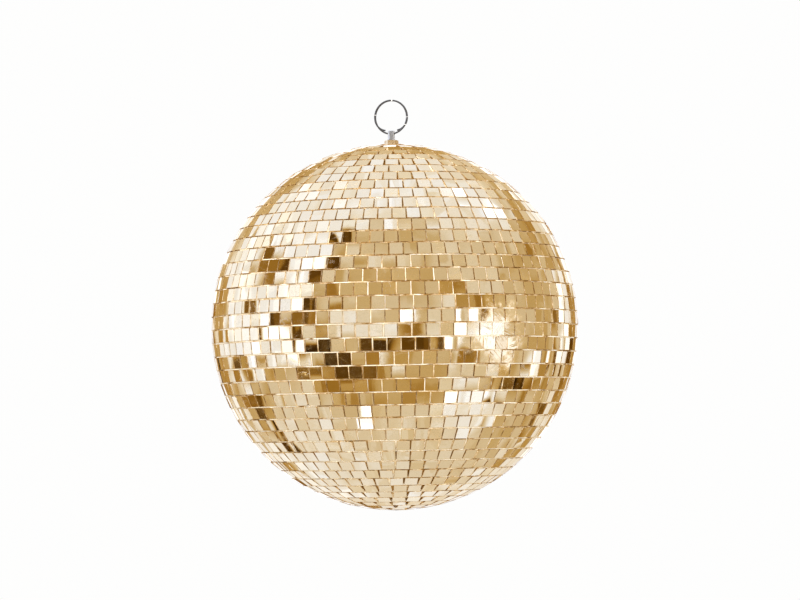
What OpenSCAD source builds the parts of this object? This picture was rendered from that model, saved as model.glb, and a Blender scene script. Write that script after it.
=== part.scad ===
// Mirror ball: rows of square glass tiles on a hollow two-part core, with a threaded hanger
// and a split ring on top. Millimetres. The middle of the ball is the origin, Z is up through
// the hanger, and the split ring lies along the XZ plane. Front is -Y, right is +X.

/* [Ball] */
// Diameter over the mirror tiles, corner to corner
ball_d = 300; // [240:1:400]
// Wall of the hollow moulded core
core_wall = 2.2; // [1.8:0.1:4]
// Overlap of the two core halves at the equator
lap_h = 6; // [4:0.5:12]

/* [Mirror tiles] */
// Gap between one row of tiles and the next
row_gap = 0.87; // [0.8:0.01:1.6]
// Width of a tile along its row
tile_w = 10.42; // [9.8:0.01:10.5]
// Gap between tiles along a row, at mid height of the row
side_gap = 0.62; // [0.6:0.01:1.6]
// Thickness of the mirror glass
glass_t = 1.5; // [1:0.1:2]
// Largest tilt of a tile from the ball's surface, in degrees
tile_tilt = 1.5; // [0:0.1:1.6]
// Largest turn of a tile in its own plane, in degrees
tile_turn = 0.5; // [0:0.1:0.6]
// Side to side wander of the rows, in mm
row_wander = 0.35; // [0:0.05:0.6]
// Seed for the hand-laid unevenness
lay_seed = 31; // [1:1:99]

/* [Layers under the tiles] */
// Thickness of the cloth strip that a row of tiles comes on
strip_t = 0.3; // [0.2:0.05:0.4]
// Thickness of the adhesive coat on the core
glue_t = 0.35; // [0.2:0.05:0.5]
// Thickness of the tape over the core's seam
tape_t = 0.2; // [0.15:0.05:0.3]
// Width of the seam tape
tape_w = 18; // [10:1:30]

/* [Hanger] */
// Diameter of the threaded part of the pin
stud_d = 6; // [5:0.1:6]
// Diameter of the cross hole in the pin head
eye_d = 2.6; // [2.5:0.05:2.8]
// Height of the pin head above the top nut
head_h = 8; // [7.5:0.1:10]
// Width across flats of the nuts
nut_s = 10; // [9.5:0.1:10.5]
// Diameter of the spreader plate inside the core
plate_d = 50; // [30:1:54]
// Thickness of the spreader plate
plate_t = 1.5; // [1:0.1:3]

/* [Split ring] */
// Diameter of the ring to the middle of its wire
ring_d = 27.44; // [25:0.1:30]
// Diameter of the ring's wire
wire_d = 1.35; // [1.1:0.05:1.35]

/* [Hidden] */

$fn = 128;

// ---- row spacing
rows = 42;                         // rings of tiles between the bottom tile and the top seat
row_step = 180 / (rows + 1.155);   // angle from one row to the next
ball_r = ball_d / 2;               // reach of the tile corners
pitch_inset = 0.25;                // the row pitch is measured this far inside the reach
pitch = (ball_r - pitch_inset) * row_step * PI / 180;
tile_h = pitch - row_gap;          // height of a tile, up and down the ball

// ---- radii, from the outside in
face_inset = 0.1641;               // keeps an untilted tile's corners inside the reach
core_depth = 2.95;                 // from mirror face to core
layer_gap = 0.03;                  // under the tape and under the glue
strip_gap = 0.04;                  // under the cloth strips
face_r = sqrt(ball_r * ball_r - (tile_w * tile_w + tile_h * tile_h) / 4) - face_inset;
back_r = face_r - glass_t;         // back of the glass
core_r = face_r - core_depth;      // outside of the core
core_in_r = core_r - core_wall;
mid_wall_r = core_in_r + core_wall / 2;
tape_r = core_r + layer_gap;       // inside of the tape
glue_r = tape_r + tape_t + layer_gap;
strip_r = glue_r + glue_t + strip_gap;   // inside of a cloth strip, at its mid line

// ---- hanger heights
washer_t = 1.6;
nut_h = 5;
lock_h = 4.4;                      // hexagon part of the lock nut
collar_h = 1.8;                    // round collar that holds the nylon ring
seat_edge_r = 7;                   // the seat lies seat_drop below the core's surface here
seat_drop = 0.1;
seat_z = sqrt(core_r * core_r - seat_edge_r * seat_edge_r) - seat_drop;
head_z = seat_z + washer_t + nut_h;      // underside of the pin head
head_top = head_z + head_h;
eye_z = head_top - 2.8;                  // axis of the cross hole
boss_z = seat_z - 5.5;                   // underside of the boss inside the core
plate_z = boss_z - plate_t;
lock_z = plate_z - washer_t - lock_h - collar_h;
stud_z = lock_z - 2.5;                   // lower end of the pin

// ---- layout of the tiles in row k, where row 1 is next to the bottom tile
corner_gap = 0.3;     // gap allowed for at the back corners when counting tiles
draws_per_tile = 6;

// Angle that a length along an arc spans
function arc_angle(length, radius) = length / radius * 180 / PI;
// Angle of the row down from the top
function row_polar(k) = 180 - k * row_step;
// Radius of the row at its mid line
function row_r(k) = face_r * sin(k * row_step);
// Radius at the back corners of its tiles, on the edge nearer a pole
function row_edge_r(k) = back_r * sin(k * row_step) - tile_h / 2 * abs(cos(k * row_step));
// Number of tiles, limited by the row's mid line and by the corners that meet at its shorter edge
function row_count(k) = min(
  floor(2 * PI * row_r(k) / (tile_w + side_gap)),
  floor(180 / atan((tile_w + corner_gap) / 2 / row_edge_r(k))));
// Angle left between two neighbours at those corners
function row_slack(k) = 360 / row_count(k) - 2 * atan(tile_w / 2 / row_edge_r(k));
// How unevenly a row is laid, less near the poles, where the corners come closer
function unevenness(k) = min(1, (min(k, rows + 1 - k) + 0.5) / 5);
// Angle that a tile may sit from its even place, just under half of the spare slack
function row_shift(k) =
  0.47 * max(0, row_slack(k) - arc_angle(0.08 + 0.09 * unevenness(k), row_edge_r(k)));
// Where round the ball the row starts
function row_start(k) = rands(0, 360, 1, lay_seed + 7 * k)[0];
// The tiles next to the bottom tile sit a little nearer to it than a full gap
function row_nudge(k) = k == 1 ? 0.3 : 0;
// Slow and quick waves of a row's line, from -1 to 1
function row_wave(azimuth) = 0.65 * sin(2 * azimuth + 40) + 0.35 * sin(5 * azimuth + 110);

// ---- tiles
mirror_color = [0.86, 0.68, 0.36];
tile_wander = 0.07;   // largest step of one tile off its row's line
tile_lift = 0.03;     // largest step of one tile in or out

// lean_side tips a tile along its row, lean_up tips it up or down the ball
module tile(polar, azimuth, lean_up = 0, lean_side = 0, turn = 0, lift = 0)
  rotate([0, 0, azimuth]) rotate([0, polar, 0]) translate([0, 0, face_r + lift - glass_t / 2])
    rotate([lean_side, lean_up, turn]) cube([tile_h, tile_w, glass_t], center = true);

module tile_row(k) {
  count = row_count(k);
  uneven = unevenness(k);
  start = row_start(k);
  draws = rands(-1, 1, draws_per_tile * count, 1000 * lay_seed + k);
  color(mirror_color)
    for (i = [0 : count - 1]) {
      first = draws_per_tile * i;
      azimuth = start + 360 / count * i + row_shift(k) * draws[first];
      wander = row_wander * row_wave(azimuth) + tile_wander * uneven * draws[first + 1];
      tile(polar = row_polar(k) + arc_angle(uneven * wander + row_nudge(k), face_r),
           azimuth = azimuth,
           lean_up = uneven * tile_tilt * draws[first + 2],
           lean_side = uneven * tile_tilt * draws[first + 3],
           turn = uneven * tile_turn * draws[first + 4],
           lift = tile_lift * draws[first + 5]);
    }
}

module bottom_tile()
  color(mirror_color) tile(polar = 180, azimuth = row_start(1));

// ---- layers under the tiles
strip_w = 0.95 * pitch;
bottom_disc_r = 0.46 * pitch;
glue_hole_r = 7.2;    // opening in the glue round the hanger

// A cloth strip is a cone band that lies along its row, and a small disc backs the bottom tile
module backing_strips()
  color([0.88, 0.82, 0.68]) {
    for (k = [1 : rows])
      rotate_extrude() rotate(90 - row_polar(k))
        translate([strip_r, -strip_w / 2]) square([strip_t, strip_w]);
    translate([0, 0, -strip_r - strip_t]) cylinder(r = bottom_disc_r, h = strip_t);
  }

module shell(outer_r, inner_r)
  difference() {
    sphere(r = outer_r);
    sphere(r = inner_r);
  }

module glue_coat()
  color([0.93, 0.88, 0.74]) difference() {
    shell(glue_r + glue_t, glue_r);
    cylinder(r = glue_hole_r, h = ball_r + 10);
  }

module seam_tape()
  color([0.80, 0.76, 0.66]) intersection() {
    shell(tape_r + tape_t, tape_r);
    translate([0, 0, -tape_w / 2]) cylinder(r = ball_r, h = tape_w);
  }

// ---- hollow core, two moulded halves that lap at the equator
seam_inset = 0.03;    // each half stops this far short of the equator
lip_t = 2;            // reach of the lap lip inside the wall
lip_gap = 0.2;        // between the lip and the upper half
lip_root_z = -0.5;    // top of the lip's root in the wall
boss_r = 28;
boss_h = 20;          // height of boss and ribs before the sphere trims them
rib_x = 26;           // inner end of a rib
rib_l = 16;
rib_w = 2;
rib_drop = 4;         // a rib reaches this far below the boss
washer_d = 12;
seat_r = washer_d / 2 + 0.3;
bore_d = stud_d + 0.4;   // clearance hole for the pin

// Core sphere less a block ball_r high, whose underside is at block_z
module core_half(block_z)
  difference() {
    shell(core_r, core_in_r);
    translate([-ball_r, -ball_r, block_z]) cube([2 * ball_r, 2 * ball_r, ball_r]);
  }

module core_lower()
  color([0.70, 0.68, 0.62]) union() {
    core_half(-seam_inset);
    rotate_extrude() polygon([
      [core_in_r - lip_t, -9], [mid_wall_r, -7], [mid_wall_r, lip_root_z],
      [core_in_r - lip_gap, lip_root_z], [core_in_r - lip_gap, lap_h],
      [core_in_r - lip_t, lap_h]]);
  }

module core_upper()
  color([0.72, 0.70, 0.64]) difference() {
    union() {
      core_half(-ball_r + seam_inset);
      intersection() {
        translate([0, 0, boss_z]) cylinder(r = boss_r, h = boss_h);
        sphere(r = mid_wall_r);
      }
      intersection() {
        for (i = [0 : 5]) rotate([0, 0, 60 * i])
          translate([rib_x, -rib_w / 2, boss_z - rib_drop]) cube([rib_l, rib_w, boss_h]);
        sphere(r = mid_wall_r);
      }
    }
    translate([0, 0, boss_z - 1]) cylinder(d = bore_d, h = 20);
    translate([0, 0, seat_z]) cylinder(r = seat_r, h = 10);
  }

// ---- hanger
thread_r = stud_d / 2 - 0.05;
tip_chamfer = 0.7;
// Side of the pin head: radius, height above head_z
head_side = [[3.12, 0.02], [3.17, 0.9], [3.02, 2.2], [2.88, 4.4], [2.84, 5.6]];
nut_turn = 45;          // turn of the top nut
bore_chamfer = 0.62;    // at the top of the top nut
groove_z = 0.3;         // groove for the nylon ring, above the lock nut's underside
groove_d = stud_d + 2;
groove_h = collar_h - groove_z;
insert_gap = 0.02;      // all round the nylon ring in its groove
flat_gap = 0.01;        // above and below each washer and the plate

module hanger_pin()
  color([0.62, 0.63, 0.65]) difference() {
    rotate_extrude() polygon(concat(
      [[0, stud_z], [thread_r - tip_chamfer, stud_z], [thread_r, stud_z + tip_chamfer],
       [thread_r, head_z + head_side[0][1]]],
      [for (point = head_side) [point[0], head_z + point[1]]],
      [[2.86, head_top - 0.45], [2.5, head_top], [0, head_top]]));
    translate([-10, 0, eye_z]) rotate([0, 90, 0]) cylinder(d = eye_d, h = 20);
  }

// Hexagon with its corners chamfered at both ends
module hex_blank(flats, height) {
  end_r = flats * 0.48;
  side_r = flats * 0.62;
  chamfer_h = flats * 0.08;
  intersection() {
    rotate([0, 0, 30]) cylinder(d = flats / cos(30), h = height, $fn = 6);
    rotate_extrude() polygon([
      [0, 0], [end_r, 0], [side_r, chamfer_h], [side_r, height - chamfer_h],
      [end_r, height], [0, height]]);
  }
}

module top_nut()
  color([0.83, 0.68, 0.42])
    translate([0, 0, seat_z + washer_t]) rotate([0, 0, nut_turn]) difference() {
      hex_blank(nut_s, nut_h);
      translate([0, 0, -1]) cylinder(d = stud_d, h = nut_h + 2);
      translate([0, 0, nut_h - bore_chamfer + 0.02])
        cylinder(r1 = stud_d / 2, r2 = stud_d / 2 + bore_chamfer, h = bore_chamfer);
    }

// Flat disc with a clearance hole for the pin
module bored_disc(diameter, thickness, z)
  translate([0, 0, z + flat_gap]) difference() {
    cylinder(d = diameter, h = thickness - 2 * flat_gap);
    translate([0, 0, -1]) cylinder(d = bore_d, h = thickness + 2);
  }

module top_washer()
  color([0.83, 0.70, 0.45]) bored_disc(washer_d, washer_t, seat_z);

module inner_washer()
  color([0.66, 0.67, 0.69]) bored_disc(washer_d, washer_t, plate_z - washer_t);

module spreader_plate()
  color([0.55, 0.56, 0.58]) bored_disc(plate_d, plate_t, plate_z);

module lock_nut()
  color([0.60, 0.61, 0.63]) translate([0, 0, lock_z]) difference() {
    union() {
      translate([0, 0, collar_h]) hex_blank(nut_s, lock_h);
      cylinder(d = nut_s * 0.92, h = collar_h + 0.5);
    }
    translate([0, 0, -1]) cylinder(d = stud_d, h = lock_h + collar_h + 2);
    translate([0, 0, groove_z]) cylinder(d = groove_d, h = groove_h);
  }

module lock_nut_insert()
  color([0.20, 0.34, 0.62]) translate([0, 0, lock_z + groove_z + insert_gap]) difference() {
    cylinder(d = groove_d - 2 * insert_gap, h = groove_h - 2 * insert_gap);
    translate([0, 0, -1]) cylinder(d = stud_d - 0.06, h = collar_h + 2);
  }

// ---- split ring: one wire, nearly two turns, its two ends either side of the pin
// Angles are counted from straight down towards +X
ring_r = ring_d / 2;
ring_z = eye_z + 0.15 + ring_r;   // middle of the ring
coil_y = wire_d / 2 + 0.02;       // each coil's distance from the ring's mid plane
tail_inset = 3.5;                 // an end springs inwards on an arc tighter by this
tail_span = 70;
left_tail = 282;                  // where the left tail leaves the ring
right_tail = 79;                  // where the right tail leaves the ring
crank = 25.5;                     // half angle of the part that crosses between the coils

function ring_point(radius, angle, y) = [radius * sin(angle), y, -radius * cos(angle)];

module wire_arc(radius, start, span)
  rotate([90, 0, 0]) rotate([0, 0, start - 90])
    rotate_extrude(angle = span) translate([radius, 0]) circle(d = wire_d, $fn = 32);

// Wire end that touches the ring's circle at angle leave
module tail(leave, start, y)
  translate(ring_point(tail_inset, leave, y)) wire_arc(ring_r - tail_inset, start, tail_span);

// Ball that rounds a joint in the wire
module bead(angle, y)
  translate(ring_point(ring_r, angle, y)) sphere(d = wire_d + 0.03, $fn = 32);

module split_ring()
  color([0.36, 0.36, 0.37]) translate([0, 0, ring_z]) union() {
    // front coil, from the right of the pin over the top to the left tail
    translate([0, -coil_y, 0]) wire_arc(ring_r, crank, left_tail - crank);
    tail(left_tail, left_tail, -coil_y);
    // rear coil, from the right tail over the top to the left of the pin
    translate([0, coil_y, 0]) wire_arc(ring_r, right_tail, 360 - crank - right_tail);
    tail(right_tail, right_tail - tail_span, coil_y);
    // crank through the pin
    rotate([0, 0, -asin(coil_y / (ring_r * sin(crank)))]) wire_arc(ring_r, -crank, 2 * crank);
    bead(crank, -coil_y);
    bead(-crank, coil_y);
    bead(left_tail, -coil_y);
    bead(right_tail, coil_y);
  }

bottom_tile();
tile_row(1);  // tile_row_01
tile_row(2);  // tile_row_02
tile_row(3);  // tile_row_03
tile_row(4);  // tile_row_04
tile_row(5);  // tile_row_05
tile_row(6);  // tile_row_06
tile_row(7);  // tile_row_07
tile_row(8);  // tile_row_08
tile_row(9);  // tile_row_09
tile_row(10);  // tile_row_10
tile_row(11);  // tile_row_11
tile_row(12);  // tile_row_12
tile_row(13);  // tile_row_13
tile_row(14);  // tile_row_14
tile_row(15);  // tile_row_15
tile_row(16);  // tile_row_16
tile_row(17);  // tile_row_17
tile_row(18);  // tile_row_18
tile_row(19);  // tile_row_19
tile_row(20);  // tile_row_20
tile_row(21);  // tile_row_21
tile_row(22);  // tile_row_22
tile_row(23);  // tile_row_23
tile_row(24);  // tile_row_24
tile_row(25);  // tile_row_25
tile_row(26);  // tile_row_26
tile_row(27);  // tile_row_27
tile_row(28);  // tile_row_28
tile_row(29);  // tile_row_29
tile_row(30);  // tile_row_30
tile_row(31);  // tile_row_31
tile_row(32);  // tile_row_32
tile_row(33);  // tile_row_33
tile_row(34);  // tile_row_34
tile_row(35);  // tile_row_35
tile_row(36);  // tile_row_36
tile_row(37);  // tile_row_37
tile_row(38);  // tile_row_38
tile_row(39);  // tile_row_39
tile_row(40);  // tile_row_40
tile_row(41);  // tile_row_41
tile_row(42);  // tile_row_42
backing_strips();
glue_coat();
seam_tape();
core_lower();
core_upper();
hanger_pin();
split_ring();
top_nut();
top_washer();
spreader_plate();
inner_washer();
lock_nut();
lock_nut_insert();
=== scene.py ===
import math
import random
from collections import namedtuple

import bmesh
import bpy
import numpy as np
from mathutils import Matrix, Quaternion, Vector


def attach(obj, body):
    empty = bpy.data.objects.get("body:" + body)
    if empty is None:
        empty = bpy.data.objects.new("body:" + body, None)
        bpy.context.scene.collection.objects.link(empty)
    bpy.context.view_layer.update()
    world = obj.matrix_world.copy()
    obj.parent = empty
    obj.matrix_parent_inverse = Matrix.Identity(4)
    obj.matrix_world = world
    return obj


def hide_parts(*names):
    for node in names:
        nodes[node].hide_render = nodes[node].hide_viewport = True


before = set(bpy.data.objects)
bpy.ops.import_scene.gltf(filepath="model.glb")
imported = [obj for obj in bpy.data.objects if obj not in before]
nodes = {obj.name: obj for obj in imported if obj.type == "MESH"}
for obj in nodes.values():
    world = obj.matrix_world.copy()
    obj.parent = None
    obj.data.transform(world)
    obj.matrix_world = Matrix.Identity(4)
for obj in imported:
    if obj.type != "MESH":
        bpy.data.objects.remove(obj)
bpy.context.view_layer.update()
scene = bpy.context.scene
MM = 0.001

BALL_RADIUS = 0.1499
CLOTH_RADIUS = 0.148            # turns latitude into a distance on the backing layers
RING_MIDDLE_Z = 0.1721          # middle of the split ring
FLOOR_Z = -0.46
CAM_AZ = math.radians(18.0)     # from -Y towards +X
CAM_EL = math.radians(-1.5)
CAM_ROLL = math.radians(1.0)
CAM_DIST = 2.70
BALL_ON_SENSOR = 8.253          # mm, radius of the ball's image
CAM_SHIFT = (0.006625, 0.03375)
SENSOR_WIDTH = 36.0             # mm

# ------------------------------------------------------------------ shader helpers


class Value:
    """An output socket that takes part in arithmetic: each operation adds one node."""

    def __init__(self, net, socket):
        self.net = net
        self.socket = socket

    def __add__(self, other):
        return self.net.math("ADD", self, other)

    def __sub__(self, other):
        return self.net.math("SUBTRACT", self, other)

    def __mul__(self, other):
        return self.net.math("MULTIPLY", self, other)

    def __abs__(self):
        return self.net.math("ABSOLUTE", self)

    def max(self, other):
        return self.net.math("MAXIMUM", self, other)

    def times_plus(self, factor, addend):
        return self.net.math("MULTIPLY_ADD", self, factor, addend)

    def remap(self, over, to=(0, 1), smooth=False):
        """Carry the range `over` onto the range `to`, clamped at both ends."""
        return self.net.value("ShaderNodeMapRange", enumerate((self, *over, *to)),
                              interpolation_type="SMOOTHSTEP" if smooth else "LINEAR")


class Net:
    """The shader nodes of one material or world."""

    def __init__(self, owner):
        owner.use_nodes = True
        self.owner = owner
        self.tree = owner.node_tree
        self.tree.nodes.clear()

    def node(self, kind, inputs=(), **props):
        """Add a node; `inputs` pairs an input's name or number with a Value or a constant."""
        made = self.tree.nodes.new(kind)
        for prop, setting in props.items():
            setattr(made, prop, setting)
        for key, value in dict(inputs).items():
            if isinstance(value, Value):
                self.tree.links.new(value.socket, made.inputs[key])
            else:
                made.inputs[key].default_value = value
        return made

    def value(self, kind, inputs=(), output=0, **props):
        return Value(self, self.node(kind, inputs, **props).outputs[output])

    def math(self, operation, first, second=0.0, third=0.0, clamp=False):
        return self.value("ShaderNodeMath", enumerate((first, second, third)),
                          operation=operation, use_clamp=clamp)

    def distance(self, start, end):
        return self.value("ShaderNodeVectorMath", enumerate((start, end)), "Value",
                          operation="DISTANCE")

    def mix(self, share, first, second):
        return self.value("ShaderNodeMix", {0: share, 6: first, 7: second}, 2, data_type="RGBA")

    def mix_value(self, share, first, second):
        return self.value("ShaderNodeMix", {0: share, 2: first, 3: second}, data_type="FLOAT")

    def mix_shader(self, share, first, second):
        return self.value("ShaderNodeMixShader", enumerate((share, first, second)))

    def ramp(self, share, stops):
        """Colour ramp; a stop is (position, grey level or RGB)."""
        made = self.node("ShaderNodeValToRGB", {0: share})
        elements = made.color_ramp.elements
        while len(elements) < len(stops):
            elements.new(0.5)
        for element, (place, tone) in zip(elements, stops):
            element.position = place
            element.color = (*tone, 1.0) if isinstance(tone, tuple) else (tone, tone, tone, 1.0)
        return Value(self, made.outputs[0])

    def noise(self, vector, scale, detail=2.0, rough=0.5, distort=0.0, color=False, w=None):
        inputs = {"Vector": vector, "Scale": scale, "Detail": detail, "Roughness": rough,
                  "Distortion": distort}
        if w is not None:
            inputs["W"] = w
        return self.value("ShaderNodeTexNoise", inputs, "Color" if color else "Fac",
                          noise_dimensions="3D" if w is None else "4D")

    def xyz(self, vector):
        outputs = self.node("ShaderNodeSeparateXYZ", {0: vector}).outputs
        return [Value(self, socket) for socket in outputs]

    def combine(self, x, y, z):
        return self.value("ShaderNodeCombineXYZ", enumerate((x, y, z)))

    def mapping(self, vector, scale=(1, 1, 1), turn=(0, 0, 0)):
        return self.value("ShaderNodeMapping",
                          {"Vector": vector, "Scale": scale, "Rotation": turn})

    def bump(self, height, strength, distance):
        return self.value("ShaderNodeBump",
                          {"Strength": strength, "Distance": distance, "Height": height})

    def attribute(self, name):
        return self.value("ShaderNodeAttribute", output="Vector",
                          attribute_type="GEOMETRY", attribute_name=name)

    def position(self):
        return self.value("ShaderNodeTexCoord", output="Object")

    def principled(self, **inputs):
        return self.value("ShaderNodeBsdfPrincipled",
                          {name.replace("_", " "): value for name, value in inputs.items()})

    def background(self, color, strength):
        return self.value("ShaderNodeBackground", {0: color, 1: strength})

    def finish(self, shader):
        """Link the shader to the output and return the material or world."""
        target = "World" if isinstance(self.owner, bpy.types.World) else "Material"
        self.node("ShaderNodeOutput" + target, {"Surface": shader})
        return self.owner


def new_material(name):
    return Net(bpy.data.materials.new(name))


# ------------------------------------------------------------------ materials

SILVERING = (0.945, 0.845, 0.66)            # middle tint of the mirror
WORN_PATCH = (0.1155, -0.0943, -0.0125)     # middle of the patch where the shine has gone
# Patches with more marks: middle, radius
HANDLED = (
    (WORN_PATCH, 0.034), ((-0.03, -0.14, -0.03), 0.016),
    ((-0.10, 0.10, 0.03), 0.03), ((0.08, 0.10, -0.07), 0.026),
)


def mirror_gold():
    """Gold mirror glass: every tile has its own tint (a random tone that is partly painted
    reflection), lie, faint warp, haze and wipe marks.
    """
    net = new_material("mirror_gold")
    tint, haze, turn = net.xyz(net.attribute("tile_var"))
    lie_u, lie_v, _ = net.xyz(net.attribute("tile_lie"))
    cup_u, cup_v, _ = net.xyz(net.attribute("tile_tone"))
    across, up, _ = net.xyz(net.value("ShaderNodeUVMap", uv_map="tile_uv"))
    across = across.times_plus(2.0, -1.0)
    up = up.times_plus(2.0, -1.0)
    pos = net.position()

    # the face isn't quite flat: a slight cup, plus a long soft wave
    wave_u, wave_v, _ = net.xyz(net.noise(pos, scale=55.0, detail=1.0, rough=0.4,
                                          color=True, w=turn))
    slope_u = across.times_plus(cup_u, lie_u) + (wave_u - 0.5) * 0.027
    slope_v = up.times_plus(cup_v, lie_v) + (wave_v - 0.5) * 0.024
    packed = net.combine(slope_u.times_plus(0.5, 0.5), slope_v.times_plus(0.5, 0.5), 1.0)
    normal = net.value("ShaderNodeNormalMap", {"Color": packed},
                       space="TANGENT", uv_map="tile_uv")

    # tint of each tile: a random tone, partly painted reflection standing in for the different
    # things each tile reflects
    base = net.ramp(tint, [(0.0, (0.90, 0.76, 0.51)), (0.2, (0.93, 0.82, 0.62)),
                           (0.5, SILVERING), (0.85, (0.95, 0.86, 0.69)),
                           (1.0, (0.96, 0.89, 0.75))])
    cloud = net.noise(pos, scale=320.0, detail=4.0, rough=0.6)
    base = net.mix(cloud.remap((0.45, 0.75)) * 0.16, base, (0.88, 0.72, 0.44, 1))
    # silvering creeps back at the edges
    edge = abs(across).max(abs(up))
    ragged = net.noise(pos, scale=900.0, detail=3.0, rough=0.6).times_plus(0.09, edge)
    rim = ragged.remap((0.965, 1.02), smooth=True)
    base = net.mix(rim * 0.55, base, (0.60, 0.36, 0.12, 1))

    # finger smears
    smear = net.noise(net.mapping(pos, scale=(1.0, 1.0, 1.9), turn=(0.0, 0.5, 0.0)),
                      scale=85.0, detail=5.0, rough=0.68, distort=1.1)
    smear = smear.remap((0.48, 0.68), smooth=True)
    # wipe marks, on axes turned differently on every tile
    angle = turn * 6.283
    wipe_x = across * net.math("COSINE", angle) - up * net.math("SINE", angle)
    wipe_y = across * net.math("SINE", angle) + up * net.math("COSINE", angle)
    handled = net.noise(pos, scale=10.0, detail=2.0, rough=0.5)
    handled = handled.remap((0.52, 0.70), to=(0.25, 0.8), smooth=True)
    for place, radius in HANDLED:
        away = net.distance(pos, place)
        away = net.noise(pos, scale=60.0, detail=3.0, rough=0.6).times_plus(0.02, away)
        handled = handled.max(away.remap((radius * 0.6, radius + 0.012), to=(3.2, 0.0),
                                         smooth=True))
    mark = (haze + 0.16) * handled
    scratch = net.noise(net.combine(wipe_x * 0.45, wipe_y * 9.0, turn * 37.0),
                        scale=1.6, detail=3.0, rough=0.75, distort=0.35).remap((0.61, 0.67))
    scratched = net.math("MULTIPLY", scratch, mark * 0.3, clamp=True)
    rough = smear.times_plus(0.09, 0.026) + scratched + rim * 0.2
    metal = net.principled(Base_Color=base, Metallic=1.0, Roughness=rough, Normal=normal,
                           Specular_Tint=(0.99, 0.90, 0.74, 1), Coat_Weight=0.3,
                           Coat_Roughness=0.03, Coat_IOR=1.45, Coat_Tint=(1.0, 0.98, 0.95, 1),
                           Coat_Normal=normal)

    # dust film
    specks = net.noise(pos, scale=1500.0, detail=3.0, rough=0.7).remap((0.72, 0.80))
    film = net.math("ADD", smear * mark.times_plus(0.22, 0.004),
                    specks * mark.times_plus(0.3, 0.015), clamp=True)
    mottle = net.noise(pos, scale=640.0, detail=4.0, rough=0.72).remap((0.46, 0.70))
    film = mottle.times_plus(net.math("POWER", haze, 1.5).times_plus(0.16, 0.006), film)
    film = net.math("MULTIPLY_ADD", scratch, mark.times_plus(0.5, 0.01), film, clamp=True)
    # worn patch, where some tiles keep more of their shine
    worn = net.distance(pos, WORN_PATCH)
    worn = (net.noise(pos, scale=90.0, detail=4.0, rough=0.65) - 0.5).times_plus(0.05, worn)
    worn = worn.remap((0.013, 0.031), to=(1.0, 0.0), smooth=True)
    streak = net.noise(net.combine((wipe_x + wipe_y) * 0.30, (wipe_x - wipe_y) * 3.0,
                                   turn * 11.0),
                       scale=1.5, detail=1.5, rough=0.6, distort=0.2)
    limit = net.noise(pos, scale=75.0, detail=2.0, rough=0.5)
    limit = limit.remap((0.46, 0.56), to=(0.62, 0.50))
    streak = (limit - streak).remap((-0.02, 0.03), to=(0.06, 1.0))
    film = film.max(worn * streak * haze.remap((0.0, 0.35), to=(0.50, 0.92)))
    dust = net.mix(scratch.max(worn), (0.96, 0.66, 0.25, 1), (1.0, 0.97, 0.90, 1))
    dusty = net.principled(Base_Color=dust, Roughness=0.7, IOR=1.3)
    return net.finish(net.mix_shader(film, metal, dusty))


def glass_edge():
    """Cut edge of the mirror glass: ground, a little gold from the silvering behind, blotched
    from dark brown to pale; the dark browns are partly painted shade of the narrow gaps.
    """
    net = new_material("glass_edge")
    pos = net.position()
    grain = net.noise(pos, scale=1400.0, detail=4.0, rough=0.65)
    blotch = net.noise(pos, scale=190.0, detail=3.0, rough=0.6)
    # dark brown to pale blotches: the dark end is partly painted shade down in the gaps
    base = net.ramp(blotch, [(0.36, (0.22, 0.10, 0.015)), (0.50, (0.40, 0.21, 0.045)),
                             (0.57, (0.76, 0.55, 0.28)), (0.64, (0.98, 0.91, 0.74))])
    base = net.mix(grain.remap((0.58, 0.72), to=(0, 0.4)), base, (1, 0.86, 0.60, 1))
    return net.finish(net.principled(
        Base_Color=base, Roughness=grain.remap((0.3, 0.7), to=(0.35, 0.6)), IOR=1.4,
        Specular_IOR_Level=0.0, Normal=net.bump(grain, strength=0.5, distance=0.00008)))


def rubbed_arris():
    """The rubbed-down corner round each tile's face: bright, slightly ragged."""
    net = new_material("rubbed_arris")
    grain = net.noise(net.position(), scale=1100.0, detail=3.0, rough=0.65)
    base = net.ramp(grain, [(0.35, (0.46, 0.27, 0.08)), (0.5, (0.68, 0.48, 0.22)),
                            (0.68, (0.93, 0.79, 0.55))])
    return net.finish(net.principled(
        Base_Color=base, Roughness=0.4, IOR=1.4, Specular_IOR_Level=0.0,
        Normal=net.bump(grain, strength=0.4, distance=0.00005)))


def adhesive_bead():
    """Adhesive squeezed up between the tiles: pale, lumpy, blotched browner where dust has
    caught; its tone per bead is painted shade and light, darker deep in the gaps and high on
    the ball, paler low on the ball.
    """
    net = new_material("adhesive_bead")
    pos = net.position()
    lump = net.noise(pos, scale=620.0, detail=3.0, rough=0.55, distort=0.3)
    blotch = net.noise(pos, scale=150.0, detail=4.0, rough=0.65)
    # the per-bead tone read here is painted shade and light (darker deep in the gaps and high
    # on the ball, paler low on it); the blotches add a random browning
    age = net.attribute("bead_tone_and_shade") + (blotch - 0.5) * 1.6
    base = net.ramp(age, [(0.0, (0.26, 0.12, 0.02)), (0.25, (0.56, 0.35, 0.12)),
                          (0.55, (0.92, 0.80, 0.58)), (0.80, (1.0, 0.97, 0.87))])
    return net.finish(net.principled(
        Base_Color=base, Roughness=lump.remap((0.3, 0.7), to=(0.35, 0.6)), IOR=1.45,
        Specular_IOR_Level=0.0, Normal=net.bump(lump, strength=0.6, distance=0.0003)))


def backing_lacquer():
    """Lacquer over the silvering, seen as a thin line at the foot of each cut edge."""
    net = new_material("backing_lacquer")
    grain = net.noise(net.position(), scale=700.0, detail=3.0, rough=0.6)
    base = net.ramp(grain, [(0.3, (0.20, 0.10, 0.02)), (0.6, (0.32, 0.18, 0.04)),
                            (0.8, (0.50, 0.31, 0.11))])
    return net.finish(net.principled(
        Base_Color=base, Roughness=grain.remap((0.3, 0.7), to=(0.4, 0.65)),
        Normal=net.bump(grain, strength=0.4, distance=0.00005)))


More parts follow.
